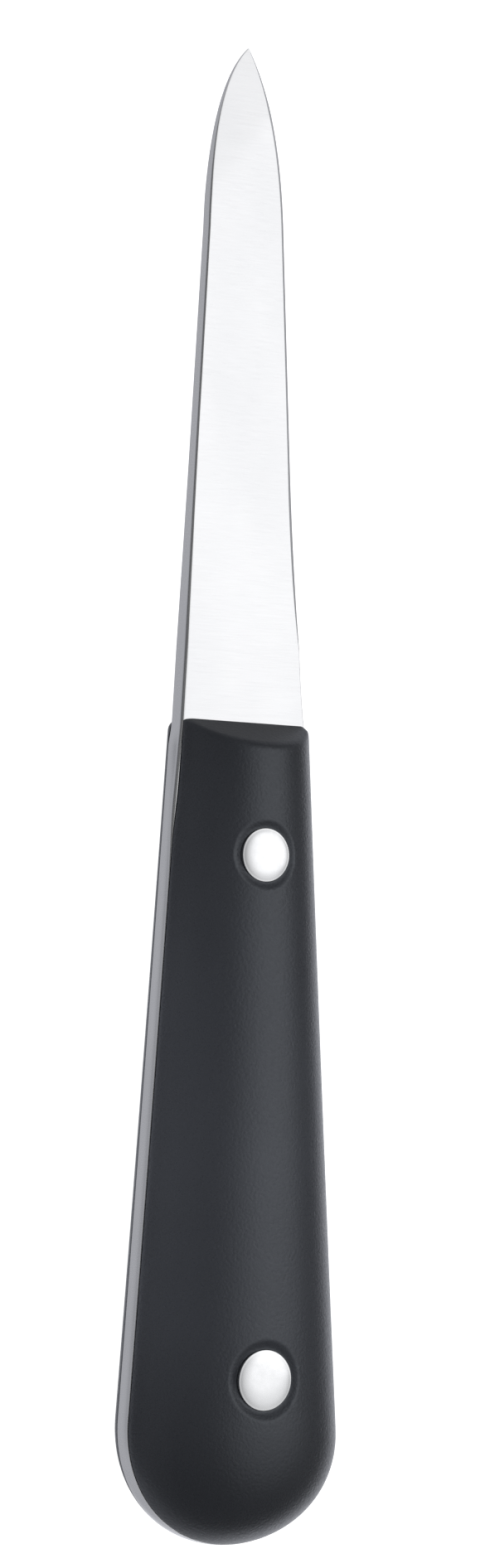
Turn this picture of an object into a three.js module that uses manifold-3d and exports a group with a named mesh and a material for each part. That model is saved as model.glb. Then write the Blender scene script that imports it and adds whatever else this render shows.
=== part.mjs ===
// Oyster knife: a full-tang blade between two crowned handle scales, held by two two-piece rivets.
// Millimetres. It is drawn along +Y from butt to tip, with the spine to -X, the edge to +X and the
// front face to +Z, and at the end it is laid down on the crown of its rear scale.

import * as THREE from "three";
import { mergeVertices } from "three/addons/utils/BufferGeometryUtils.js";
import Module from "manifold-3d";

const wasm = await Module();
wasm.setup();

// Overall sizes
const knifeLength = 170;
const handleLength = 92.5;
const bladeThickness = 2.4;

// Handle: oval sections that shrink from the butt to the neck
const neckWidth = 16.8;
const neckThickness = 13.1;
const flankFlare = 0.0581; // half-width gained per millimetre back from the neck
const flankHollow = 0.00006; // growth of that flare, which hollows the flanks a little
const crownFlare = 0.0316; // half-thickness gained per millimetre back from the neck
const buttRound = 14.5; // length over which the butt rounds off to the spine's side
const edgeButtRound = 12.5; // and to the edge's side, where its corner is fuller
const buttFlat = 0.07; // turn of the round at the tang's first section, which leaves a tiny flat end
const tangCorner = 0.9; // highest corner of the tang, as a share of the handle's half-thickness
const frontCutAngle = THREE.MathUtils.degToRad(63); // between the scales' front cut and the blade
const bedGap = 0.1; // film between the tang and each scale
const thinEnd = 0.08; // thickness of a scale where it starts at the butt

// Blade outline: distances from the knife's axis, and the places along its length
const spineAtHeel = 8.06;
const spineAtShoulder = 5.45;
const edgeAtHeel = 7.62;
const edgeAtShoulder = 4.68;
const heelFlare = 0.3;
const heelFlareLength = 8;
const heelStep = 0.3; // length of the change from tang to blade, in front of the scales
const shoulder = 149; // where the sides start to curve in to the point
const tip = new THREE.Vector2(-0.54, knifeLength);
const spinePull = new THREE.Vector2(-4.9, 165.5); // control points of the two curves of the point
const edgePull = new THREE.Vector2(3.95, 163);
const pointEnd = 0.998; // share of the point's length that is kept, which leaves a tiny flat tip

// Blade faces: full thickness at the heel, then a flat grind that a round run-in leads to
const grindStart = 101;
const flatStart = 127;
const groundSpine = 1.75; // thickness at the spine where the flat grind starts
const groundEdge = 0.76; // and behind the edge bevel
const distalTaper = 0.0025; // half-thickness lost per millimetre towards the tip
const tipThickness = 0.16;
const tipGrind = 0.0372; // half-thickness gained per millimetre back from the tip
const spineChamfer = 0.3;
const chamferLimit = 0.35; // largest share of the face's height that the chamfer takes
const bevelAngle = THREE.MathUtils.degToRad(30);
const bevelDepthLimit = 0.6; // largest share of the face's height that the edge bevel takes
const bevelWidthLimit = 0.35; // and of the blade's width
const heelBreak = 0.15; // depth of the broken corner where the bevel has run out
const edgeLand = 0.16; // thickness left at the blunt edge

// Rivets: a tube and a stud that is pressed into it, each with a domed head in a dished seat
const rivets = [
  { name: "neck_rivet", fromButt: 77.4, headDiameter: 6, dishDiameter: 8.2, dishDepth: 0.35 },
  { name: "butt_rivet", fromButt: 19.1, headDiameter: 6.7, dishDiameter: 9.3, dishDepth: 0.45 },
];
const tubeDiameter = 4;
const tubeBore = 2.6;
const studDiameter = 2.5;
const studPointDiameter = 1.75; // at the end of the stud's short lead-in cone
const studPointLength = 0.625;
const shankClearance = 0.15; // all round the tube, in the scales and the tang
const headClearance = 0.1; // all round a head in its seat
const headLift = 0.05; // between a head's underside and the floor of its seat
const headEdge = 1.2; // height of a head's straight side
const domeRise = 0.25;
const domeFlatness = 4; // power by which a dome falls off from its middle
const rimBreak = 0.12;
const headSink = 0.05; // a dome stops this far under the crown, so the knife lies on its scale
const shankEndGap = 0.8; // left between a shank's end and what it faces
const cutBeyond = 10; // how far a cut runs on past the surface it breaks through

// Fineness of the round forms
const buttSteps = 12;
const flankSteps = 12;
const crownSteps = 36;
const runInSteps = 8;
const pointSteps = 12;
const turnSteps = 36;
const domeSteps = 5;
const lipSteps = 5;

// Boolean helpers
function solidOf(geometry) {
  const bare = geometry.clone();
  bare.deleteAttribute("normal");
  bare.deleteAttribute("uv");
  const merged = mergeVertices(bare);
  const corners = merged.index.array;
  const triangles = [];
  for (let i = 0; i < corners.length; i += 3) {
    const [a, b, c] = corners.slice(i, i + 3);
    if (a !== b && b !== c && c !== a) triangles.push(a, b, c);
  }
  const vertProperties = new Float32Array(merged.attributes.position.array);
  const triVerts = new Uint32Array(triangles);
  return new wasm.Manifold(new wasm.Mesh({ numProp: 3, vertProperties, triVerts }));
}

function geometryOf(solid) {
  const { vertProperties, triVerts } = solid.getMesh();
  const geometry = new THREE.BufferGeometry();
  geometry.setAttribute("position", new THREE.Float32BufferAttribute(vertProperties, 3));
  geometry.setIndex(new THREE.Uint32BufferAttribute(triVerts, 1));
  geometry.computeVertexNormals();
  return geometry;
}

// A closed solid through a run of sections, all with the same number of corners, each going round
// clockwise as seen from the end of the run
function loft(sections) {
  const count = sections[0].length;
  const triangles = [];
  for (let s = 0; s + 1 < sections.length; s += 1) {
    for (let c = 0; c < count; c += 1) {
      const here = s * count + c;
      const beside = s * count + ((c + 1) % count);
      triangles.push(here, here + count, beside);
      triangles.push(beside, here + count, beside + count);
    }
  }
  const last = (sections.length - 1) * count;
  for (let c = 1; c + 1 < count; c += 1) {
    triangles.push(0, c, c + 1);
    triangles.push(last, last + c + 1, last + c);
  }
  const geometry = new THREE.BufferGeometry().setFromPoints(sections.flat());
  geometry.setIndex(triangles);
  return geometry;
}

// A solid of revolution about Z, from [radius, height] points that start and end on the axis
function turned(profile) {
  const points = profile.map(([radius, height]) => new THREE.Vector2(radius, height));
  return new THREE.LatheGeometry(points, turnSteps).rotateX(Math.PI / 2);
}

// Evenly spaced values from first to last, both included
function steps(first, last, count) {
  return Array.from({ length: count + 1 }, (_, i) => THREE.MathUtils.lerp(first, last, i / count));
}

// Handle form
function roundEnd(y, length) {
  const inset = Math.max(0, length - y) / length;
  return Math.sqrt(1 - inset * inset);
}

// Half-width to the edge's side, where toEdge is positive, else to the spine's side
function halfWidth(y, toEdge) {
  const back = handleLength - y;
  const flank = neckWidth / 2 + flankFlare * back + flankHollow * back * back;
  return flank * roundEnd(y, toEdge > 0 ? edgeButtRound : buttRound);
}

function halfThickness(y) {
  const back = handleLength - y;
  return (neckThickness / 2 + crownFlare * back) * roundEnd(y, buttRound);
}

// Height of a crown above the middle plane, with the edge to +X, edgeSide 1, or to -X, edgeSide -1
function crownHeight(x, y, edgeSide) {
  return halfThickness(y) * Math.sqrt(1 - (x / halfWidth(y, x * edgeSide)) ** 2);
}

// Places along the handle, closer together towards the end of the butt
function handleStations(firstTurn) {
  const turns = steps(firstTurn, Math.PI / 2, buttSteps);
  const butt = turns.map((turn) => buttRound * (1 - Math.cos(turn)));
  return [...butt, ...steps(buttRound, handleLength, flankSteps).slice(1)];
}

// Blade with its tang: across the knife at y on one of the two curves of the point
function alongCurve(y, start, pull, end) {
  const a = start.y - 2 * pull.y + end.y;
  const b = 2 * (pull.y - start.y);
  const t = (Math.sqrt(b * b - 4 * a * (start.y - y)) - b) / (2 * a);
  return start.x * (1 - t) ** 2 + 2 * pull.x * t * (1 - t) + end.x * t * t;
}

function spineAt(y) {
  const start = new THREE.Vector2(-spineAtShoulder, shoulder);
  if (y > shoulder) return alongCurve(y, start, spinePull, tip);
  return -THREE.MathUtils.mapLinear(y, handleLength, shoulder, spineAtHeel, spineAtShoulder);
}

function edgeAt(y) {
  const start = new THREE.Vector2(edgeAtShoulder, shoulder);
  if (y > shoulder) return alongCurve(y, start, edgePull, tip);
  const straight = THREE.MathUtils.mapLinear(y, handleLength, shoulder, edgeAtHeel, edgeAtShoulder);
  const flare = Math.max(0, 1 - (y - handleLength) / heelFlareLength);
  return straight + heelFlare * flare * flare;
}

// Height of the blade's face above its middle plane
function faceHeight(x, y) {
  const tilt = (groundSpine - groundEdge) / 2 / (edgeAt(flatStart) - spineAt(flatStart));
  const flat = groundSpine / 2 - tilt * (x - spineAt(flatStart)) - distalTaper * (y - flatStart);
  const runIn = THREE.MathUtils.clamp((flatStart - y) / (flatStart - grindStart), 0, 1) ** 2;
  const face = THREE.MathUtils.lerp(flat, bladeThickness / 2, runIn);
  return Math.min(face, tipThickness / 2 + tipGrind * (knifeLength - y));
}

// A section's upper corners from edge to spine, and the same mirrored below
function mirroredSection(upper, y) {
  const above = upper.map(([x, z]) => new THREE.Vector3(x, y, z));
  const below = upper.map(([x, z]) => new THREE.Vector3(x, y, -z)).reverse();
  return [...above, ...below];
}

function tangSection(y) {
  const corner = Math.min(bladeThickness / 2, tangCorner * halfThickness(y));
  const middle = corner / 2;
  const share = (z) => Math.sqrt(1 - (z / halfThickness(y)) ** 2);
  const edge = halfWidth(y, 1);
  const spine = -halfWidth(y, -1);
  return mirroredSection(
    [
      [edge * share(middle), middle],
      [edge * share(corner), corner],
      [spine * share(corner), corner],
      [spine * share(middle), middle],
    ],
    y,
  );
}

function bladeSection(y) {
  const spine = spineAt(y);
  const edge = edgeAt(y);
  const edgeFace = faceHeight(edge, y);
  const chamfer = Math.min(spineChamfer, chamferLimit * faceHeight(spine, y));
  const grown = THREE.MathUtils.clamp((y - grindStart) / (flatStart - grindStart), 0, 1);
  const wantedDepth = THREE.MathUtils.lerp(heelBreak, edgeFace - edgeLand / 2, grown);
  const bevelDepth = Math.min(wantedDepth, bevelDepthLimit * edgeFace);
  const bevelWidth = Math.min(bevelDepth / Math.tan(bevelAngle), bevelWidthLimit * (edge - spine));
  return mirroredSection(
    [
      [edge, edgeFace - bevelDepth],
      [edge - bevelWidth, faceHeight(edge - bevelWidth, y)],
      [spine + chamfer, faceHeight(spine + chamfer, y)],
      [spine, faceHeight(spine, y) - chamfer],
    ],
    y,
  );
}

function makeBlade() {
  const pointTurns = steps(0, Math.asin(pointEnd), pointSteps).slice(1);
  const bladeStations = [
    ...steps(handleLength + heelStep, grindStart, runInSteps),
    ...steps(grindStart, flatStart, runInSteps).slice(1),
    shoulder,
    ...pointTurns.map((turn) => shoulder + (knifeLength - shoulder) * Math.sin(turn)),
  ];
  const tang = handleStations(buttFlat).map(tangSection);
  let solid = solidOf(loft([...tang, ...bladeStations.map(bladeSection)]));
  const radius = tubeDiameter / 2 + shankClearance;
  for (const { fromButt } of rivets) {
    const hole = new THREE.CylinderGeometry(radius, radius, 2 * cutBeyond, turnSteps);
    solid = solid.subtract(solidOf(hole.rotateX(Math.PI / 2).translate(0, fromButt, 0)));
  }
  return geometryOf(solid);
}

// Heights of a rivet's head and seat above the middle plane
function headLevels({ fromButt }) {
  const crown = halfThickness(fromButt);
  const top = crown - headSink;
  const rim = top - domeRise;
  const base = rim - headEdge;
  return { crown, top, rim, seated: base + headLift, base };
}

// A scale that lies on the tang: its crown runs from side to side, and its front is cut at a slant
function makeScale(edgeSide) {
  const bed = bladeThickness / 2 + bedGap;
  const firstTurn = Math.asin((bed + thinEnd) / (neckThickness / 2 + crownFlare * handleLength));
  const setBack = (z) => (z - bed) / Math.tan(frontCutAngle);
  const crownPoint = (y, share) => {
    const low = Math.asin(bed / halfThickness(y));
    const across = Math.cos(THREE.MathUtils.lerp(low, Math.PI - low, share));
    const x = across * halfWidth(y, across * edgeSide);
    return new THREE.Vector3(x, y, crownHeight(x, y, edgeSide));
  };
  const shares = steps(0, 1, crownSteps);
  const stations = handleStations(firstTurn).slice(0, -1);
  const sections = stations.map((y) => shares.map((share) => crownPoint(y, share)));
  const cutSection = shares.map((share) => {
    const square = crownPoint(handleLength, share);
    const slanted = crownPoint(handleLength - setBack(square.z), share);
    return slanted.setY(handleLength - setBack(slanted.z));
  });
  let solid = solidOf(loft([...sections, cutSection]));
  for (const rivet of rivets) {
    solid = solid.subtract(solidOf(makeDish(rivet, edgeSide)));
    solid = solid.subtract(solidOf(makeSeat(rivet)));
  }
  return geometryOf(solid);
}

// What is cut away round a rivet's head: a dish that follows the crown and rises to it at its lip
function makeDish({ fromButt, headDiameter, dishDiameter, dishDepth }, edgeSide) {
  const seat = headDiameter / 2 + headClearance;
  const lip = dishDiameter / 2;
  const turns = steps(2 * Math.PI, 0, turnSteps).slice(0, -1);
  const ring = (radius, heightAt) =>
    turns.map((turn) => {
      const x = radius * Math.cos(turn);
      const y = fromButt + radius * Math.sin(turn);
      return new THREE.Vector3(x, y, heightAt(x, y));
    });
  const rings = steps(0, 1, lipSteps).map((share) => {
    const depth = dishDepth * (1 - share * share);
    const radius = THREE.MathUtils.lerp(seat, lip, share);
    return ring(radius, (x, y) => crownHeight(x, y, edgeSide) - depth);
  });
  const above = halfThickness(fromButt) + cutBeyond;
  return loft([...rings, ring(lip, () => above)]);
}

// What is cut away for a rivet: the shank's bore and the head's seat
function makeSeat(rivet) {
  const { crown, base } = headLevels(rivet);
  const bore = tubeDiameter / 2 + shankClearance;
  const seat = rivet.headDiameter / 2 + headClearance;
  const above = crown + cutBeyond;
  const profile = [[0, 0], [bore, 0], [bore, base], [seat, base], [seat, above], [0, above]];
  return turned(profile).translate(0, rivet.fromButt, 0);
}

// Domed head of a rivet, from the underside to the top of the dome
function headProfile(rivet) {
  const { top, rim, seated } = headLevels(rivet);
  const radius = rivet.headDiameter / 2;
  const dome = steps(1, 0, domeSteps).map((share) => [
    (radius - rimBreak) * share,
    top - domeRise * share ** domeFlatness,
  ]);
  return [[radius, seated], [radius, rim - rimBreak], ...dome];
}

function makeRivetTube(rivet) {
  const { base, seated } = headLevels(rivet);
  const bore = tubeBore / 2;
  const radius = tubeDiameter / 2;
  const end = -base + shankEndGap;
  const shank = [[0, base], [bore, base], [bore, end], [radius, end], [radius, seated]];
  const profile = [...shank, ...headProfile(rivet)];
  return geometryOf(solidOf(turned(profile).translate(0, rivet.fromButt, 0)));
}

// Drawn with its head up, like the tube, and turned over where it is placed
function makeRivetStud(rivet) {
  const { base, seated } = headLevels(rivet);
  const radius = studDiameter / 2;
  const end = -base + shankEndGap;
  const point = [[0, end], [studPointDiameter / 2, end], [radius, end + studPointLength]];
  const profile = [...point, [radius, seated], ...headProfile(rivet)];
  return geometryOf(solidOf(turned(profile).translate(0, rivet.fromButt, 0)));
}

// Materials
function finish(color, roughness, metalness) {
  return new THREE.MeshStandardMaterial({ color, roughness, metalness });
}

const groundSteel = finish(0xd4d7da, 0.3, 1);
const blackPlastic = finish(0x202225, 0.55, 0);
const polishedSteel = finish(0xe6e8ea, 0.12, 1);

// Assembly
const knife = new THREE.Group();

function place(name, geometry, material, turnedOver = false) {
  const mesh = new THREE.Mesh(geometry, material);
  mesh.name = name;
  if (turnedOver) mesh.rotation.y = Math.PI;
  knife.add(mesh);
}

place("blade", makeBlade(), groundSteel);
place("front_scale", makeScale(1), blackPlastic);
place("rear_scale", makeScale(-1), blackPlastic, true);
for (const rivet of rivets) {
  place(`${rivet.name}_tube`, makeRivetTube(rivet), polishedSteel);
  place(`${rivet.name}_stud`, makeRivetStud(rivet), polishedSteel, true);
}

// Laid down: the rear crown's straight line lies on the table, and the origin is on the table under
// the middle of the knife
knife.rotation.x = -Math.atan(crownFlare);
knife.updateMatrixWorld(true);
const box = new THREE.Box3().setFromObject(knife, true);
const middle = box.getCenter(new THREE.Vector3());
knife.position.set(-middle.x, -middle.y, -box.min.z);

const oysterKnife = new THREE.Group();
oysterKnife.add(knife);

export default oysterKnife;
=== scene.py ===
import math
from collections import namedtuple

import bmesh
import bpy
from mathutils import Matrix, Vector


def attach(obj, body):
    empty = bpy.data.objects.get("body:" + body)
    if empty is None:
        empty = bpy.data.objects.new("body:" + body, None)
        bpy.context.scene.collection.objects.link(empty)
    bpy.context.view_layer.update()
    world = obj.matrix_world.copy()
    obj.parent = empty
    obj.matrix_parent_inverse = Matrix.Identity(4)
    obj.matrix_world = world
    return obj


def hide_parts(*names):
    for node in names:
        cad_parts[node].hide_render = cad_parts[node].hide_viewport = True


# Oyster knife. Its forms are drawn in millimetres along +Y from butt to tip, with the spine to -X, the
# edge to +X and the front face to +Z, as in the part's source, and are then laid down in the part's frame.
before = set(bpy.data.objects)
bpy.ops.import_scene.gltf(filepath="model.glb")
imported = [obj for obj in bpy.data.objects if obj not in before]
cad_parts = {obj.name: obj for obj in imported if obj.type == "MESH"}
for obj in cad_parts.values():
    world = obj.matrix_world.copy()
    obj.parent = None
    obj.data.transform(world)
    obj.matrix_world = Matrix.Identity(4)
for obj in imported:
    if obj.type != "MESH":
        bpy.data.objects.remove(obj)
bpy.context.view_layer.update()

# Overall sizes
KNIFE_LENGTH = 170.2
HANDLE_LENGTH = 92.5
BLADE_THICKNESS = 2.4

# Handle
NECK_WIDTH = 16.8
NECK_THICKNESS = 13.1
FLANK_FLARE = 0.0581
FLANK_HOLLOW = 0.00006
CROWN_FLARE = 0.0316
BUTT_ROUND = 14.5
EDGE_BUTT_ROUND = 12.5  # the butt's corner is fuller on the edge's side
TANG_GAP = 0.1  # between the tang and a scale
BED = BLADE_THICKNESS / 2 + TANG_GAP
BED_ROUNDING = 0.14
BED_ROUNDING_LIMIT = 0.25  # as a share of the scale's thickness
THIN_END = 0.08  # height of a scale's butt end above its bed

# Front cut of the scales
FRONT_CUT_ANGLE = math.radians(63)
CUT_ROUNDING = 0.9
CUT_ROUNDING_LIMIT = 0.45  # as a share of the cut's length
EDGE_CORNER = (0.9, 0.75)  # width and depth of the rounding of a scale's front corners, in plan
FRONT_SPINE_CORNER = (1.4, 0.35)
REAR_SPINE_CORNER = (0.7, 1.8)
FRONT_SKEW = 0.0125  # the cut runs slightly further forward on the spine's side
FRONT_INSET = 0.34  # how far the front scale is drawn in from the spine at its front
REAR_INSET = 0.0
INSET_START = 78.0
INSET_END = 86.0

# Blade outline: each side of the point is a curve from the shoulder to the tip, drawn towards a pull
SPINE_AT_HEEL = 8.06
SPINE_AT_SHOULDER = 5.45
EDGE_AT_HEEL = 7.62
EDGE_AT_SHOULDER = 4.68
HEEL_FLARE = 0.3
HEEL_FLARE_LENGTH = 8.0
SHOULDER = 149.0
TIP = (-0.34, KNIFE_LENGTH)
SPINE_PULL = (-5.2, 165.5)
EDGE_PULL = (4.05, 163.0)
POINT_END = 0.9988  # place of the last section, as a share of the point's length

# Tang: from the blend's start on, its sides run over into those of the blade
BLEND_START = 80.0
REAR_BLEND_START = 89.5  # of the spine side's rear corner
TANG_BREAK = 0.1
TANG_BREAK_LIMIT = 0.3  # as a share of the tang's half-thickness
TANG_AT_BUTT = 0.9  # the tang's half-thickness is at most this share of the handle's

# Blade faces
GRIND_START = 101.0
FLAT_START = 127.0
GROUND_SPINE = 1.75
GROUND_EDGE = 0.76
DISTAL_TAPER = 0.0025
TIP_THICKNESS = 0.28
TIP_GRIND = 0.0355
SPINE_ROUNDING = 0.6  # height of the rounding of the spine's front corner
ROUNDING_WIDTH = 0.52  # its width, as a share of its height
ROUNDING_LIMIT = 0.5  # as a share of the blade's half-thickness
ROUNDING_START = 74.0  # where the tang's broken corner begins to run over into it
ROUNDING_END = 84.0
REAR_BREAK = 0.12
BEVEL_ANGLE = math.radians(30)
BEVEL_DEPTH_LIMIT = 0.6
BEVEL_WIDTH_LIMIT = 0.35
HEEL_BREAK = 0.04
EDGE_LAND = 0.16

# Rivets: distance from the butt, diameter of the head and of the dish round it, and the dish's depth
Rivet = namedtuple("Rivet", "name from_butt head dish depth")
RIVETS = [
    Rivet("neck_rivet", 77.4, 6.0, 8.2, 0.35),
    Rivet("butt_rivet", 19.1, 6.7, 9.3, 0.45),
]
TUBE_RADIUS = 2.0
TUBE_BORE_RADIUS = 1.3
STUD_RADIUS = 1.25
STUD_POINT_RADIUS = 0.875
STUD_POINT_LENGTH = 0.625
SHANK_CLEARANCE = 0.15
SHANK_END_GAP = 0.8
HEAD_CLEARANCE = 0.04
HEAD_LIFT = 0.05  # of a head's underside above the floor of its seat
HEAD_SINK = 0.05  # of a dome's top below the crown
HEAD_EDGE = 1.2
DOME_RISE = 0.25
DOME_FLATNESS = 4  # power of the dome's curve
RIM_ROUNDING = 0.06
DRILL_LENGTH = 20

# Fineness of the meshes
CROWN_STEPS = 48
CORNER_STEPS = 3
CUT_ROUNDING_STEPS = 6
CUT_STEPS = 2
CUT_EDGE_ROUNDS = 4  # of the search for the place where the crown meets the front cut
BUTT_STEPS = 30
FLANK_STEPS = 84
TANG_STEPS = 28
TANG_FIRST_TURN = 0.05  # turn round the butt, in radians, of the tang's first section
RUN_IN_STEPS = 18
POINT_STEPS = 26
SPINE_STEPS = 6
SIDE_STEPS = 4
FACE_STEPS = 9
FACE_HOLD = 0.12  # a row of points this close to a face's borders keeps the face flat up to them
FACE_HOLD_LIMIT = 0.3  # as a share of the face's width
TURN_STEPS = 96
DOME_STEPS = 16
RIM_STEPS = 5
BLOCK_COLUMNS = 26
BLOCK_ROWS = 16
PATCH_STEPS = 6
DISH_STEPS = 14
DISH_MARGIN = 0.3
MERGE_DISTANCE = 0.0004
BLADE_SHARP = math.radians(18)
SHARP = math.radians(32)


def lerp(first, last, share):
    return first + (last - first) * share


def clamp(value):
    return min(1.0, max(0.0, value))


def ease(value):
    """A share from 0 to 1 that starts and ends softly."""
    share = clamp(value)
    return share * share * (3 - 2 * share)


def steps(first, last, count):
    return [lerp(first, last, i / count) for i in range(count + 1)]


def bend(start, pull, end, share):
    """A point of the curve from start to end that is drawn towards pull."""
    return lerp(lerp(start, pull, share), lerp(pull, end, share), share)


# From the knife's drawing, in millimetres, to the part's frame, in metres: it lies on its rear crown, with
# the origin under the middle of its box
MILLIMETRE = 0.001
LAY_DOWN = Matrix.Rotation(-math.atan(CROWN_FLARE), 4, "X")
ON_TABLE = Matrix.Translation((-0.05715, -84.94622, 9.46827))
TO_PART = Matrix.Scale(MILLIMETRE, 4) @ ON_TABLE @ LAY_DOWN
TURN_OVER = Matrix.Rotation(math.pi, 4, "Y")


# Handle form
def round_end(y, length):
    inset = max(0.0, length - y) / length
    return math.sqrt(1 - inset * inset)


def half_width(y, to_edge):
    """Half-width to the edge's side, where to_edge is positive, else to the spine's side."""
    back = HANDLE_LENGTH - y
    flank = NECK_WIDTH / 2 + FLANK_FLARE * back + FLANK_HOLLOW * back * back
    return flank * round_end(y, EDGE_BUTT_ROUND if to_edge > 0 else BUTT_ROUND)


def half_thickness(y):
    back = HANDLE_LENGTH - y
    return (NECK_THICKNESS / 2 + CROWN_FLARE * back) * round_end(y, BUTT_ROUND)


def side_share(y, z):
    """How much of the handle's half-width is left at a height above the middle plane."""
    return math.sqrt(max(0.0, 1 - (z / half_thickness(y)) ** 2))


# Blade form
def along_curve(y, start, pull, end):
    """Across of the curve from start to end that is drawn towards pull, at a place along the knife."""
    a = start[1] - 2 * pull[1] + end[1]
    b = 2 * (pull[1] - start[1])
    share = (math.sqrt(b * b - 4 * a * (start[1] - y)) - b) / (2 * a)
    return bend(start[0], pull[0], end[0], share)


def spine_at(y):
    if y > SHOULDER:
        return along_curve(y, (-SPINE_AT_SHOULDER, SHOULDER), SPINE_PULL, TIP)
    share = (y - HANDLE_LENGTH) / (SHOULDER - HANDLE_LENGTH)
    return -lerp(SPINE_AT_HEEL, SPINE_AT_SHOULDER, share)


def edge_at(y):
    if y > SHOULDER:
        return along_curve(y, (EDGE_AT_SHOULDER, SHOULDER), EDGE_PULL, TIP)
    share = (y - HANDLE_LENGTH) / (SHOULDER - HANDLE_LENGTH)
    flare = max(0.0, 1 - (y - HANDLE_LENGTH) / HEEL_FLARE_LENGTH)
    return lerp(EDGE_AT_HEEL, EDGE_AT_SHOULDER, share) + HEEL_FLARE * flare * flare


def into_blade(y, start=BLEND_START):
    """How far the tang has run over into the blade."""
    return ease((y - start) / (HANDLE_LENGTH - start))


def spine_side(y, z):
    """The spine's side, which keeps the tang's width further forward at the rear than at the front."""
    to_front = clamp((z + BLADE_THICKNESS / 2) / BLADE_THICKNESS)
    blend = lerp(into_blade(y, REAR_BLEND_START), into_blade(y), to_front)
    return lerp(-half_width(y, -1) * side_share(y, z), spine_at(y), blend)


def edge_side(y, z):
    return lerp(half_width(y, 1) * side_share(y, z), edge_at(y), into_blade(y))


def face_height(x, y):
    """Height of the tang's or the blade's face above the middle plane."""
    if y <= HANDLE_LENGTH:
        return min(BLADE_THICKNESS / 2, TANG_AT_BUTT * half_thickness(y))
    tilt = (GROUND_SPINE - GROUND_EDGE) / 2 / (edge_at(FLAT_START) - spine_at(FLAT_START))
    flat = GROUND_SPINE / 2 - tilt * (x - spine_at(FLAT_START)) - DISTAL_TAPER * (y - FLAT_START)
    run_in = clamp((FLAT_START - y) / (FLAT_START - GRIND_START)) ** 2
    face = lerp(flat, BLADE_THICKNESS / 2, run_in)
    return min(face, TIP_THICKNESS / 2 + TIP_GRIND * (KNIFE_LENGTH - y))


# Mesh helpers
def finished_piece(name, mesh_edit, node, material, sharp_angle):
    """Turns an edited mesh, in millimetres, into a piece that stands for a CAD node."""
    bmesh.ops.remove_doubles(mesh_edit, verts=mesh_edit.verts, dist=MERGE_DISTANCE)
    bmesh.ops.dissolve_degenerate(mesh_edit, edges=mesh_edit.edges, dist=MERGE_DISTANCE)
    bmesh.ops.recalc_face_normals(mesh_edit, faces=mesh_edit.faces)
    mesh = bpy.data.meshes.new(name)
    mesh_edit.to_mesh(mesh)
    mesh_edit.free()
    mesh.transform(TO_PART)
    mesh.shade_smooth()
    mesh.set_sharp_from_angle(angle=sharp_angle)
    mesh.materials.append(material)
    piece = bpy.data.objects.new(name, mesh)
    bpy.context.scene.collection.objects.link(piece)
    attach(piece, "root")
    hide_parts(node)
    return piece


def add_row(mesh_edit, points):
    return [mesh_edit.verts.new(point) for point in points]


def add_face(mesh_edit, corners):
    kept = list(dict.fromkeys(corners))
    if len(kept) > 2:
        mesh_edit.faces.new(kept)


def join_rows(mesh_edit, first, second, closed=False):
    """Quads between two rows of the same number of vertices."""
    count = len(first)
    for i in range(count if closed else count - 1):
        j = (i + 1) % count
        add_face(mesh_edit, [first[i], first[j], second[j], second[i]])


# Scales, with the rivets' seats in them
def head_levels(rivet):
    """Top of the dome, height of its rim, and floor of the seat, above the middle plane."""
    top = half_thickness(rivet.from_butt) - HEAD_SINK
    rim = top - DOME_RISE
    return top, rim, rim - HEAD_EDGE


def dish_drop(x, y):
    """How far the crown is sunk at a place by the dishes round the rivets."""
    drop = 0.0
    for rivet in RIVETS:
        seat_radius = rivet.head / 2 + HEAD_CLEARANCE
        reach = math.hypot(x, y - rivet.from_butt)
        drop += rivet.depth * ease((rivet.dish / 2 - reach) / (rivet.dish / 2 - seat_radius))
    return drop


class Block:
    """The block of a scale's grid that a rivet's seat takes the place of."""

    def __init__(self, rows, rivet):
        middle_column = len(rows[0]) // 2
        distances = [abs(row[middle_column].y - rivet.from_butt) for row in rows]
        self.rivet = rivet
        self.first_row = distances.index(min(distances)) - BLOCK_ROWS // 2
        self.last_row = self.first_row + BLOCK_ROWS
        self.first_column = middle_column - BLOCK_COLUMNS // 2
        self.last_column = self.first_column + BLOCK_COLUMNS

    def holds(self, row, column):
        return self.first_row <= row < self.last_row and self.first_column <= column < self.last_column

    def rim(self, vertices):
        """The vertices round the block, in order."""
        rows = range(self.first_row, self.last_row)
        columns = range(self.first_column, self.last_column)
        rim = [vertices[self.first_row][c] for c in columns]
        rim += [vertices[r][self.last_column] for r in rows]
        rim += [vertices[self.last_row][c + 1] for c in reversed(columns)]
        rim += [vertices[r + 1][self.first_column] for r in reversed(rows)]
        return rim


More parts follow.
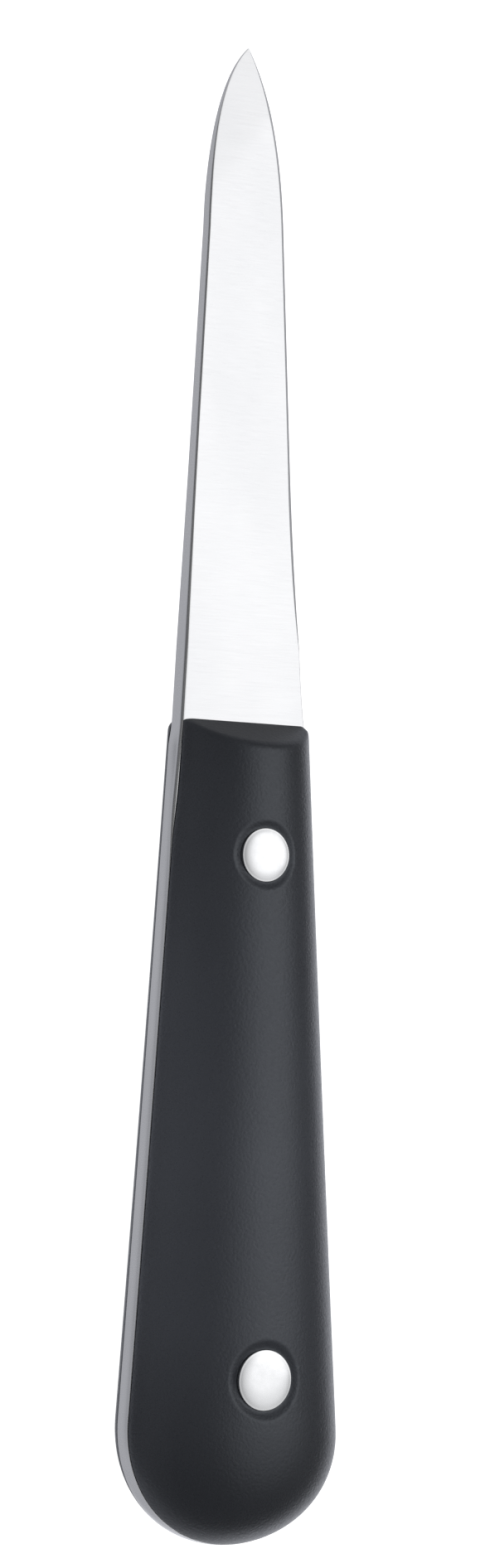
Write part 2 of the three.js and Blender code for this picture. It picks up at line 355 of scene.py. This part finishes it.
class Scale:
    """Form of a handle scale that lies on the tang, with the edge to +X (1) or to -X (-1)."""

    def __init__(self, edge_sign, spine_corner, inset):
        self.edge_sign = edge_sign
        self.spine_corner = spine_corner
        self.inset = inset
        self.shares = steps(0, 1, CROWN_STEPS + 2 * CORNER_STEPS)

    def reach(self, y, x):
        """How far the scale reaches to the side that x lies on."""
        to_edge = x * self.edge_sign
        if to_edge > 0:
            return half_width(y, to_edge)
        inset = self.inset * ease((y - INSET_START) / (INSET_END - INSET_START))
        return half_width(y, to_edge) - inset

    def height(self, x, y):
        """Height of the crown, with the dishes round the rivets sunk into it."""
        across = min(1.0, abs(x) / self.reach(y, x))
        return half_thickness(y) * math.sqrt(1 - across * across) - dish_drop(x, y)

    def section_point(self, y, share):
        """Across and up of the section at y, from the bed on the +X side over the crown."""
        thickness = half_thickness(y)
        rounding = min(BED_ROUNDING, BED_ROUNDING_LIMIT * (thickness - BED))
        low = math.asin((BED + rounding) / thickness)
        corner = CORNER_STEPS / (CROWN_STEPS + 2 * CORNER_STEPS)
        if corner <= share <= 1 - corner:
            turn = lerp(low, math.pi - low, (share - corner) / (1 - 2 * corner))
            x = math.cos(turn)
            x *= self.reach(y, x)
            return x, self.height(x, y)
        side = 1 if share < corner else -1
        place = min(share, 1 - share) / corner
        reach = self.reach(y, side)
        bed_edge = reach * side_share(y, BED)
        x = bend(bed_edge - rounding, bed_edge, reach * math.cos(low), place)
        return side * x, bend(BED, BED, BED + rounding, place)

    def front_line(self, x):
        """Where the front cut meets the bed: nearly straight across, with its two corners rounded off."""
        width, depth = EDGE_CORNER if x * self.edge_sign > 0 else self.spine_corner
        bed_edge = self.reach(HANDLE_LENGTH, x) * side_share(HANDLE_LENGTH, BED)
        inward = clamp((abs(x) - bed_edge + width) / width)
        skew = FRONT_SKEW * (bed_edge - x * self.edge_sign)
        return HANDLE_LENGTH + skew - depth * (1 - math.sqrt(1 - inward * inward))

    def cut_edge(self, share):
        """Where a column of the crown meets the slanted front cut."""
        y = HANDLE_LENGTH
        for _ in range(CUT_EDGE_ROUNDS):
            x, z = self.section_point(y, share)
            y = self.front_line(x) - (z - BED) / math.tan(FRONT_CUT_ANGLE)
        return Vector((x, y, z))

    def rows(self):
        """The crown's rows from butt to front cut, then the cut down to the bed, and the bed's rows."""
        first_turn = math.asin((BED + THIN_END) / (NECK_THICKNESS / 2 + CROWN_FLARE * HANDLE_LENGTH))
        turns = steps(first_turn, math.pi / 2, BUTT_STEPS)[:-1]
        edges = [self.cut_edge(share) for share in self.shares]
        feet = [Vector((edge.x, self.front_line(edge.x), BED)) for edge in edges]
        lengths = [(foot - edge).length for edge, foot in zip(edges, feet)]
        roundings = [min(CUT_ROUNDING, CUT_ROUNDING_LIMIT * length) for length in lengths]
        places = [[BUTT_ROUND * (1 - math.cos(turn))] * len(self.shares) for turn in turns]
        for along in steps(0, 1, FLANK_STEPS):
            places.append([lerp(BUTT_ROUND, edge.y - r, along) for edge, r in zip(edges, roundings)])
        crown = []
        bed = []
        for row in places:
            points = [self.section_point(y, share) for y, share in zip(row, self.shares)]
            crown.append([Vector((x, y, z)) for y, (x, z) in zip(row, points)])
            bed.append([Vector((x, y, BED)) for y, (x, z) in zip(row, points)])
        inner = [edge + (foot - edge).normalized() * r for edge, foot, r in zip(edges, feet, roundings)]
        cut = []
        for share in steps(0, 1, CUT_ROUNDING_STEPS)[1:]:
            corners = zip(crown[-1], edges, inner)
            cut.append([bend(start, edge, end, share) for start, edge, end in corners])
        for share in steps(0, 1, CUT_STEPS)[1:]:
            cut.append([lerp(start, foot, share) for start, foot in zip(inner, feet)])
        return crown, cut, bed

    def add_seat(self, mesh_edit, crown_rim, bed_rim, rivet):
        """The dish, the seat and the bore of a rivet, between the rims of the crown's and bed's block."""
        floor = head_levels(rivet)[2]
        seat_radius = rivet.head / 2 + HEAD_CLEARANCE
        bore_radius = TUBE_RADIUS + SHANK_CLEARANCE
        outer = rivet.dish / 2 + DISH_MARGIN
        angles = [math.atan2(v.co.y - rivet.from_butt, v.co.x) for v in crown_rim]

        def circle(radius):
            return [(radius * math.cos(a), rivet.from_butt + radius * math.sin(a)) for a in angles]

        on_crown = []
        for share in steps(0, 1, PATCH_STEPS)[1:-1]:
            pairs = zip(crown_rim, circle(outer))
            on_crown.append([(lerp(v.co.x, x, share), lerp(v.co.y, y, share)) for v, (x, y) in pairs])
        on_crown += [circle(radius) for radius in steps(outer, seat_radius, DISH_STEPS)]
        rows = [[Vector((x, y, self.height(x, y))) for x, y in row] for row in on_crown]
        for radius, height in ((seat_radius, floor), (bore_radius, floor), (bore_radius, BED)):
            rows.append([Vector((x, y, height)) for x, y in circle(radius)])
        previous = crown_rim
        for row in rows:
            current = add_row(mesh_edit, row)
            join_rows(mesh_edit, previous, current, closed=True)
            previous = current
        join_rows(mesh_edit, previous, bed_rim, closed=True)

    def mesh(self):
        mesh_edit = bmesh.new()
        crown, cut, bed = self.rows()
        blocks = [Block(crown, rivet) for rivet in RIVETS]
        crown_vertices = [add_row(mesh_edit, row) for row in crown]
        bed_vertices = []
        for crown_row, bed_row in zip(crown_vertices, bed):
            inside = add_row(mesh_edit, bed_row[1:-1])
            bed_vertices.append([crown_row[0], *inside, crown_row[-1]])
        for grid in (crown_vertices, bed_vertices):
            for r in range(len(grid) - 1):
                for c in range(len(self.shares) - 1):
                    if any(block.holds(r, c) for block in blocks):
                        continue
                    corners = [grid[r][c], grid[r][c + 1], grid[r + 1][c + 1], grid[r + 1][c]]
                    add_face(mesh_edit, corners)
        join_rows(mesh_edit, crown_vertices[0], bed_vertices[0])
        previous = crown_vertices[-1]
        for row in cut:
            current = add_row(mesh_edit, row)
            join_rows(mesh_edit, previous, current)
            previous = current
        join_rows(mesh_edit, previous, bed_vertices[-1])
        for block in blocks:
            self.add_seat(mesh_edit, block.rim(crown_vertices), block.rim(bed_vertices), block.rivet)
        return mesh_edit


# Blade and tang
def tang_break(y):
    return min(TANG_BREAK, TANG_BREAK_LIMIT * face_height(0, y))


def spine_rounding(y, wanted):
    """Height of the rounding of the spine's corner, or of the tang's broken corner."""
    on_blade = min(wanted, ROUNDING_LIMIT * face_height(spine_at(y), y))
    grown = ease((y - ROUNDING_START) / (ROUNDING_END - ROUNDING_START))
    return lerp(tang_break(y), on_blade, grown)


def edge_bevel(y):
    """Depth and width of the bevel along the edge, or of the tang's broken corner."""
    edge_face = face_height(edge_at(y), y)
    grown = clamp((y - GRIND_START) / (FLAT_START - GRIND_START))
    wanted = lerp(HEEL_BREAK, edge_face - EDGE_LAND / 2, grown)
    depth = min(wanted, BEVEL_DEPTH_LIMIT * edge_face)
    width = min(depth / math.tan(BEVEL_ANGLE), BEVEL_WIDTH_LIMIT * (edge_at(y) - spine_at(y)))
    return lerp(tang_break(y), depth, into_blade(y)), lerp(tang_break(y), width, into_blade(y))


def half_section(y, rounding, facing):
    """Bevel, face and rounded spine of the front (1) or rear (-1) half of a section, drawn face up."""
    depth, width = edge_bevel(y)
    bevel_foot = face_height(edge_at(y), y) - depth
    spine_top = face_height(spine_at(y), y)
    points = [(edge_side(y, z), z) for z in steps(0, bevel_foot, SIDE_STEPS)]
    first = edge_side(y, bevel_foot) - width
    spine = spine_side(y, facing * (spine_top - rounding))
    last = spine + ROUNDING_WIDTH * rounding
    hold = min(FACE_HOLD, FACE_HOLD_LIMIT * (first - last))
    for x in [first, *steps(first - hold, last + hold, FACE_STEPS), last]:
        points.append((x, face_height(x, y)))
    for share in steps(0, 1, SPINE_STEPS)[1:]:
        x = bend(last, spine, spine, share)
        points.append((x, bend(face_height(last, y), spine_top, spine_top - rounding, share)))
    points += [(spine_side(y, facing * z), z) for z in steps(spine_top - rounding, 0, SIDE_STEPS)[1:]]
    return points


def blade_section(y):
    """A section of the tang or the blade, all round."""
    upper = half_section(y, spine_rounding(y, SPINE_ROUNDING), 1)
    turned_over = half_section(y, spine_rounding(y, REAR_BREAK), -1)
    lower = [(x, -z) for x, z in reversed(turned_over[1:-1])]
    return [Vector((x, y, z)) for x, z in upper + lower]


def blade_mesh():
    mesh_edit = bmesh.new()
    butt_turns = steps(TANG_FIRST_TURN, math.pi / 2, BUTT_STEPS)
    point_turns = steps(0, math.asin(POINT_END), POINT_STEPS)[1:]
    stations = [BUTT_ROUND * (1 - math.cos(turn)) for turn in butt_turns]
    stations += steps(BUTT_ROUND, BLEND_START, TANG_STEPS)[1:]
    run_ins = [BLEND_START, HANDLE_LENGTH, GRIND_START, FLAT_START, SHOULDER]
    for first, last in zip(run_ins, run_ins[1:]):
        stations += steps(first, last, RUN_IN_STEPS)[1:]
    stations += [SHOULDER + (KNIFE_LENGTH - SHOULDER) * math.sin(turn) for turn in point_turns]
    rows = [add_row(mesh_edit, blade_section(y)) for y in stations]
    for first, second in zip(rows, rows[1:]):
        join_rows(mesh_edit, first, second, closed=True)
    mesh_edit.faces.new(rows[0])
    mesh_edit.faces.new(rows[-1])
    return mesh_edit


def drill(piece, from_butt, radius):
    """Cuts a rivet's hole through the tang."""
    cutter_edit = bmesh.new()
    bmesh.ops.create_cone(
        cutter_edit,
        cap_ends=True,
        segments=TURN_STEPS,
        radius1=radius,
        radius2=radius,
        depth=DRILL_LENGTH,
    )
    bmesh.ops.translate(cutter_edit, verts=cutter_edit.verts, vec=(0, from_butt, 0))
    cutter_mesh = bpy.data.meshes.new("cutter")
    cutter_edit.to_mesh(cutter_mesh)
    cutter_edit.free()
    cutter_mesh.transform(TO_PART)
    cutter = bpy.data.objects.new("cutter", cutter_mesh)
    bpy.context.scene.collection.objects.link(cutter)
    cut = piece.modifiers.new("hole", "BOOLEAN")
    cut.operation = "DIFFERENCE"
    cut.solver = "EXACT"
    cut.object = cutter
    evaluated = piece.evaluated_get(bpy.context.evaluated_depsgraph_get())
    drilled = bpy.data.meshes.new_from_object(evaluated)
    piece.modifiers.remove(cut)
    piece.data = drilled
    bpy.data.objects.remove(cutter)


# Rivets
def turned_mesh(profile, from_butt):
    """A solid of revolution from [radius, height] points that start and end on the axis."""
    mesh_edit = bmesh.new()
    turns = steps(0, 2 * math.pi, TURN_STEPS)[:-1]
    rows = []
    for radius, height in profile:
        around = [(radius * math.cos(turn), from_butt + radius * math.sin(turn)) for turn in turns]
        rows.append(add_row(mesh_edit, [Vector((x, y, height)) for x, y in around]))
    for first, second in zip(rows, rows[1:]):
        join_rows(mesh_edit, first, second, closed=True)
    return mesh_edit


def head_profile(rivet):
    top, rim, floor = head_levels(rivet)
    radius = rivet.head / 2
    inner = radius - RIM_ROUNDING
    profile = [(radius, floor + HEAD_LIFT), (radius, rim - RIM_ROUNDING)]
    for share in steps(0, 1, RIM_STEPS)[1:-1]:
        across = bend(radius, radius, inner, share)
        profile.append((across, bend(rim - RIM_ROUNDING, rim, rim, share)))
    for share in steps(1, 0, DOME_STEPS):
        profile.append((inner * share, top - DOME_RISE * share**DOME_FLATNESS))
    return profile


def tube_profile(rivet):
    floor = head_levels(rivet)[2]
    end = SHANK_END_GAP - floor
    shank = [(0, floor), (TUBE_BORE_RADIUS, floor), (TUBE_BORE_RADIUS, end), (TUBE_RADIUS, end)]
    return [*shank, (TUBE_RADIUS, floor + HEAD_LIFT), *head_profile(rivet)]


def stud_profile(rivet):
    floor = head_levels(rivet)[2]
    end = SHANK_END_GAP - floor
    point = [(0, end), (STUD_POINT_RADIUS, end), (STUD_RADIUS, end + STUD_POINT_LENGTH)]
    return [*point, (STUD_RADIUS, floor + HEAD_LIFT), *head_profile(rivet)]


# Node helpers, for the materials and the surroundings
NOISE_RANGE = (0.3, 0.7)  # where most of a noise's values lie


def coordinate(tree, kind, axis):
    """One axis of a place, or of a direction."""
    source = tree.nodes.new("ShaderNodeTexCoord")
    split = tree.nodes.new("ShaderNodeSeparateXYZ")
    tree.links.new(source.outputs[kind], split.inputs["Vector"])
    return split.outputs[axis]


def spread(tree, value, low, high, new_low=0.0, new_high=1.0):
    """A value that runs from low to high, made to run from new_low to new_high."""
    node = tree.nodes.new("ShaderNodeMapRange")
    node.inputs["From Min"].default_value = low
    node.inputs["From Max"].default_value = high
    node.inputs["To Min"].default_value = new_low
    node.inputs["To Max"].default_value = new_high
    tree.links.new(value, node.inputs["Value"])
    return node.outputs["Result"]


def levels_along(tree, value, stops, tint=(1.0, 1.0, 1.0)):
    """Tinted grey levels along a value, from stops of value and level."""
    ramp = tree.nodes.new("ShaderNodeValToRGB")
    elements = ramp.color_ramp.elements
    while len(elements) < len(stops):
        elements.new(0.5)  # its place is set below
    first = stops[0][0]
    last = stops[-1][0]
    for element, (place, level) in zip(elements, stops):
        element.position = (place - first) / (last - first)
        element.color = (*(level * part for part in tint), 1)
    tree.links.new(spread(tree, value, first, last), ramp.inputs["Fac"])
    return ramp.outputs["Color"]


def noise(tree, grains, detail):
    """Noise on the object, with so many grains per metre along X, Y and Z."""
    place = tree.nodes.new("ShaderNodeTexCoord")
    mapping = tree.nodes.new("ShaderNodeMapping")
    mapping.inputs["Scale"].default_value = grains
    texture = tree.nodes.new("ShaderNodeTexNoise")
    texture.inputs["Scale"].default_value = 1.0
    texture.inputs["Detail"].default_value = detail
    tree.links.new(place.outputs["Object"], mapping.inputs["Vector"])
    tree.links.new(mapping.outputs["Vector"], texture.inputs["Vector"])
    return texture.outputs["Fac"]


def coloured(tree, value, *colours):
    """A noise's values turned into a run from a dark to a pale colour."""
    ramp = tree.nodes.new("ShaderNodeValToRGB")
    for element, position, colour in zip(ramp.color_ramp.elements, NOISE_RANGE, colours):
        element.position = position
        element.color = (*colour, 1)
    tree.links.new(value, ramp.inputs["Fac"])
    return ramp.outputs["Color"]


# Materials: grains and clouds per metre, dark and pale colour, range of roughness, and height of the grain
Finish = namedtuple("Finish", "grain detail clouds dark pale roughness bump_height bump_strength")
BLADE_STEEL = Finish(
    grain=(260, 9000, 9000),  # its streaks run across the blade
    detail=3.0,
    clouds=(90, 60, 90),
    dark=(0.763, 0.764, 0.773),
    pale=(0.808, 0.807, 0.813),
    roughness=(0.22, 0.28),
    bump_height=0.000004,
    bump_strength=0.1,
)
RIVET_STEEL = Finish(
    grain=(1500, 1500, 1500),
    detail=4.0,
    clouds=(400, 400, 400),
    dark=(0.84, 0.843, 0.85),
    pale=(0.88, 0.882, 0.888),
    roughness=(0.2, 0.27),
    bump_height=0.000003,
    bump_strength=0.3,
)
HANDLE_PLASTIC = Finish(
    grain=(3000, 3000, 3000),
    detail=2.0,
    clouds=(150, 80, 150),
    dark=(0.0365, 0.039, 0.0475),
    pale=(0.0415, 0.0445, 0.054),
    roughness=(0.26, 0.36),
    bump_height=0.00005,
    bump_strength=0.8,
)
CLOUD_DETAIL = 2.0
PLASTIC_GLOSS = 0.65
PLASTIC_GLOSS_TINT = (0.88, 0.93, 1.0, 1.0)
HANDLE_PAINTED_SHADE = [  # by metres along Y: painted light and shade, the grip's ends darker than its middle
    (-0.085, 0.44),
    (-0.077, 0.53),
    (-0.06, 0.95),
    (-0.042, 1.13),
    (-0.022, 0.96),
    (0.008, 0.56),
]
SAWN_ROUGHNESS = 0.55
SAWN_FACING = (0.3, 0.8)  # how far the crown and the sawn front face the tip


def new_material(name):
    material = bpy.data.materials.new(name)
    material.use_nodes = True
    return material, material.node_tree, material.node_tree.nodes["Principled BSDF"]


def textures(tree, shader, finish):
    """Sets a finish's bump, and gives its cloudy colour and its roughness."""
    grain = noise(tree, finish.grain, finish.detail)
    bump = tree.nodes.new("ShaderNodeBump")
    bump.inputs["Strength"].default_value = finish.bump_strength
    bump.inputs["Distance"].default_value = finish.bump_height
    tree.links.new(grain, bump.inputs["Height"])
    tree.links.new(bump.outputs["Normal"], shader.inputs["Normal"])
    colour = coloured(tree, noise(tree, finish.clouds, CLOUD_DETAIL), finish.dark, finish.pale)
    return colour, spread(tree, grain, *NOISE_RANGE, *finish.roughness)


def steel(name, finish):
    material, tree, shader = new_material(name)
    colour, roughness = textures(tree, shader, finish)
    shader.inputs["Metallic"].default_value = 1.0
    tree.links.new(colour, shader.inputs["Base Color"])
    tree.links.new(roughness, shader.inputs["Roughness"])
    return material


def plastic(name, finish):
    """Matte plastic, with painted light and shade along the grip, paler at its middle and darker at its
    ends, and duller on the scales' sawn fronts.
    """
    material, tree, shader = new_material(name)
    colour, roughness = textures(tree, shader, finish)
    shader.inputs["Specular IOR Level"].default_value = PLASTIC_GLOSS
    shader.inputs["Specular Tint"].default_value = PLASTIC_GLOSS_TINT
    # Painted light and shade: the base colour is multiplied by levels along Y that darken both ends of the
    # grip
    painted_shade = tree.nodes.new("ShaderNodeMix")
    painted_shade.data_type = "RGBA"
    painted_shade.blend_type = "MULTIPLY"
    painted_shade.inputs["Factor"].default_value = 1.0
    tree.links.new(colour, painted_shade.inputs["A"])
    tree.links.new(levels_along(tree, coordinate(tree, "Object", "Y"), HANDLE_PAINTED_SHADE), painted_shade.inputs["B"])
    tree.links.new(painted_shade.outputs["Result"], shader.inputs["Base Color"])
    dulled = tree.nodes.new("ShaderNodeMix")
    dulled.inputs["B"].default_value = SAWN_ROUGHNESS
    tree.links.new(spread(tree, coordinate(tree, "Normal", "Y"), *SAWN_FACING), dulled.inputs["Factor"])
    tree.links.new(roughness, dulled.inputs["A"])
    tree.links.new(dulled.outputs["Result"], shader.inputs["Roughness"])
    return material


blade_finish = steel("blade_steel", BLADE_STEEL)
handle_finish = plastic("handle_plastic", HANDLE_PLASTIC)
rivet_finish = steel("rivet_steel", RIVET_STEEL)

# Pieces
steel_pieces = bpy.data.collections.new("steel_pieces")

blade = finished_piece("knife_blade", blade_mesh(), "blade", blade_finish, BLADE_SHARP)
for rivet in RIVETS:
    drill(blade, rivet.from_butt, TUBE_RADIUS + SHANK_CLEARANCE)
steel_pieces.objects.link(blade)

front = Scale(1, FRONT_SPINE_CORNER, FRONT_INSET).mesh()
finished_piece("scale_front", front, "front_scale", handle_finish, SHARP)
rear = Scale(-1, REAR_SPINE_CORNER, REAR_INSET).mesh()
bmesh.ops.transform(rear, matrix=TURN_OVER, verts=rear.verts)
finished_piece("scale_rear", rear, "rear_scale", handle_finish, SHARP)

for rivet in RIVETS:
    tube = turned_mesh(tube_profile(rivet), rivet.from_butt)
    stud = turned_mesh(stud_profile(rivet), rivet.from_butt)
    bmesh.ops.transform(stud, matrix=TURN_OVER, verts=stud.verts)
    for half, side, node in ((tube, "front", "tube"), (stud, "rear", "stud")):
        name = f"{rivet.name}_{side}"
        piece = finished_piece(name, half, f"{rivet.name}_{node}", rivet_finish, SHARP)
        steel_pieces.objects.link(piece)

# Floor and backdrop: the steel in the photograph mirrors a darker table than its white ground, so both are
# left out of reflections, and the far backdrop gives the knife no light
FLOOR_RADIUS = 4.0  # in metres, as all of the stage and the lights
BACKDROP_HEIGHT = 2.0
FLOOR_COLOUR = (0.9, 0.9, 0.9, 1.0)
FLOOR_ROUGHNESS = 0.9
FLOOR_GLOW_COLOUR = (1.0, 1.0, 1.0, 1.0)
FLOOR_GLOW = 0.95
floor_paint, _, floor_shader = new_material("floor_paint")
floor_shader.inputs["Base Color"].default_value = FLOOR_COLOUR
floor_shader.inputs["Roughness"].default_value = FLOOR_ROUGHNESS
floor_shader.inputs["Emission Color"].default_value = FLOOR_GLOW_COLOUR
floor_shader.inputs["Emission Strength"].default_value = FLOOR_GLOW


def staged_piece(name, mesh_edit):
    mesh = bpy.data.meshes.new(name)
    mesh_edit.to_mesh(mesh)
    mesh_edit.free()
    mesh.materials.append(floor_paint)
    staged = bpy.data.objects.new(name, mesh)
    staged.visible_glossy = False
    bpy.context.scene.collection.objects.link(staged)
    return staged


floor_edit = bmesh.new()
bmesh.ops.create_circle(floor_edit, cap_ends=True, segments=TURN_STEPS, radius=FLOOR_RADIUS)
staged_piece("floor", floor_edit)

backdrop_edit = bmesh.new()
rims = []
for height in (0, BACKDROP_HEIGHT):
    rims.append(bmesh.ops.create_circle(backdrop_edit, segments=TURN_STEPS, radius=FLOOR_RADIUS)["verts"])
    bmesh.ops.translate(backdrop_edit, verts=rims[-1], vec=(0, 0, height))
join_rows(backdrop_edit, *rims, closed=True)
staged_piece("backdrop", backdrop_edit).visible_diffuse = False

# Surroundings: a wide soft light overhead that leans to the right, by the cosine of the angle to its
# middle, and below the horizon the table, from left to right
LIGHT_MIDDLE = Vector((0.53, 0.08, 0.845)).normalized()
LIGHT_STRETCH = (1.0, 0.75, 1.0)  # it is longer along the knife than across
LIGHT = [
    (-0.57, 0.2),
    (-0.15, 0.18),
    (0.25, 0.14),
    (0.5, 0.17),
    (0.64, 0.2),
    (0.777, 0.23),
    (0.85, 0.42),
    (0.906, 0.67),
    (0.951, 0.86),
    (0.978, 0.92),
    (1.0, 0.92),
]
LIGHT_TINT = (0.98, 0.987, 1.0)
TABLE = [
    (-1.0, 0.01),
    (-0.85, 0.13),
    (-0.65, 0.48),
    (-0.5, 0.5),
    (-0.3, 0.47),
    (0.0, 0.46),
    (0.25, 0.66),
    (0.6, 1.15),
    (1.0, 1.0),
]
TABLE_TINT = (0.945, 0.958, 1.02)
HORIZON = (-0.35, 0.0)  # heights between which the table runs over into the light

world = bpy.data.worlds.new("studio")
world.use_nodes = True
sky = world.node_tree


def vector_math(operation, vector, other=(0, 0, 0)):
    node = sky.nodes.new("ShaderNodeVectorMath")
    node.operation = operation
    node.inputs[1].default_value = other
    sky.links.new(vector, node.inputs[0])
    return node


towards = sky.nodes.new("ShaderNodeTexCoord")
stretched = vector_math("MULTIPLY", towards.outputs["Generated"], LIGHT_STRETCH)
unit = vector_math("NORMALIZE", stretched.outputs["Vector"])
nearness = vector_math("DOT_PRODUCT", unit.outputs["Vector"], LIGHT_MIDDLE)
light = levels_along(sky, nearness.outputs["Value"], LIGHT, LIGHT_TINT)
table = levels_along(sky, coordinate(sky, "Generated", "X"), TABLE, TABLE_TINT)
surroundings = sky.nodes.new("ShaderNodeMix")
surroundings.data_type = "RGBA"
sky.links.new(spread(sky, coordinate(sky, "Generated", "Z"), *HORIZON), surroundings.inputs["Factor"])
sky.links.new(table, surroundings.inputs["A"])
sky.links.new(light, surroundings.inputs["B"])
sky.links.new(surroundings.outputs["Result"], sky.nodes["Background"].inputs["Color"])
bpy.context.scene.world = world


# Lights: the key and the fill shine on everything. One beyond each end shines on the steel alone, which
# mirrors it in views from the other end.
def softbox(name, direction, distance, width, height, radiance, mirrored=True, receivers=None):
    """A rectangular light that faces the knife's middle, with the same brightness at any size."""
    light_data = bpy.data.lights.new(name, "AREA")
    light_data.shape = "RECTANGLE"
    light_data.size = width
    light_data.size_y = height
    light_data.energy = radiance * math.pi * width * height
    lamp = bpy.data.objects.new(name, light_data)
    lamp.location = Vector(direction).normalized() * distance
    lamp.rotation_euler = Vector(direction).to_track_quat("Z", "Y").to_euler()
    lamp.visible_glossy = mirrored
    lamp.visible_camera = False
    lamp.light_linking.receiver_collection = receivers
    bpy.context.scene.collection.objects.link(lamp)


LIGHT_DISTANCE = 0.8
END_SIZE = (2.8, 0.8)
softbox("key", (0.59, 0.155, 0.77), LIGHT_DISTANCE, width=0.48, height=0.55, radiance=0.36)
softbox("fill", (-0.7, 0.0, 0.7), LIGHT_DISTANCE, width=0.8, height=0.8, radiance=0.9, mirrored=False)
softbox("butt_end", (0.0, -0.9, 0.4), LIGHT_DISTANCE, *END_SIZE, radiance=0.45, receivers=steel_pieces)
softbox("tip_end", (0.0, 0.9, 0.4), LIGHT_DISTANCE, *END_SIZE, radiance=0.22, receivers=steel_pieces)

# Camera: turned to the spine's side, as in the photograph, and placed in the knife's drawing
CAMERA_YAW = math.radians(30)
CAMERA_PITCH = 0.05591991
CAMERA_ROLL = -0.01823693
CAMERA_DISTANCE = 450.0
CAMERA_TARGET = Vector((0.646139, 85.660435, 0))
CAMERA_NEAR = 0.01  # in metres
SENSOR_WIDTH = 36.0
IMAGE_HEIGHT = 1892
FOCAL_PIXELS = 4776.3168

to_camera = Vector((
    -math.sin(CAMERA_YAW) * math.cos(CAMERA_PITCH),
    -math.sin(CAMERA_PITCH),
    math.cos(CAMERA_YAW) * math.cos(CAMERA_PITCH),
))
level_up = (Vector((0, 1, 0)) - to_camera * to_camera.y).normalized()
level_right = level_up.cross(to_camera)
image_up = math.cos(CAMERA_ROLL) * level_up + math.sin(CAMERA_ROLL) * level_right
image_right = math.cos(CAMERA_ROLL) * level_right - math.sin(CAMERA_ROLL) * level_up
camera_turn = Matrix((image_right, image_up, to_camera)).transposed()

camera_data = bpy.data.cameras.new("camera")
camera_data.sensor_width = SENSOR_WIDTH
camera_data.lens = FOCAL_PIXELS / IMAGE_HEIGHT * SENSOR_WIDTH
camera_data.clip_start = CAMERA_NEAR
camera = bpy.data.objects.new("camera", camera_data)
camera_place = Matrix.Translation(TO_PART @ (CAMERA_TARGET + CAMERA_DISTANCE * to_camera))
camera.matrix_world = camera_place @ (LAY_DOWN.to_3x3() @ camera_turn).to_4x4()
bpy.context.scene.collection.objects.link(camera)
bpy.context.scene.camera = camera
bpy.context.scene.view_settings.view_transform = "Standard"
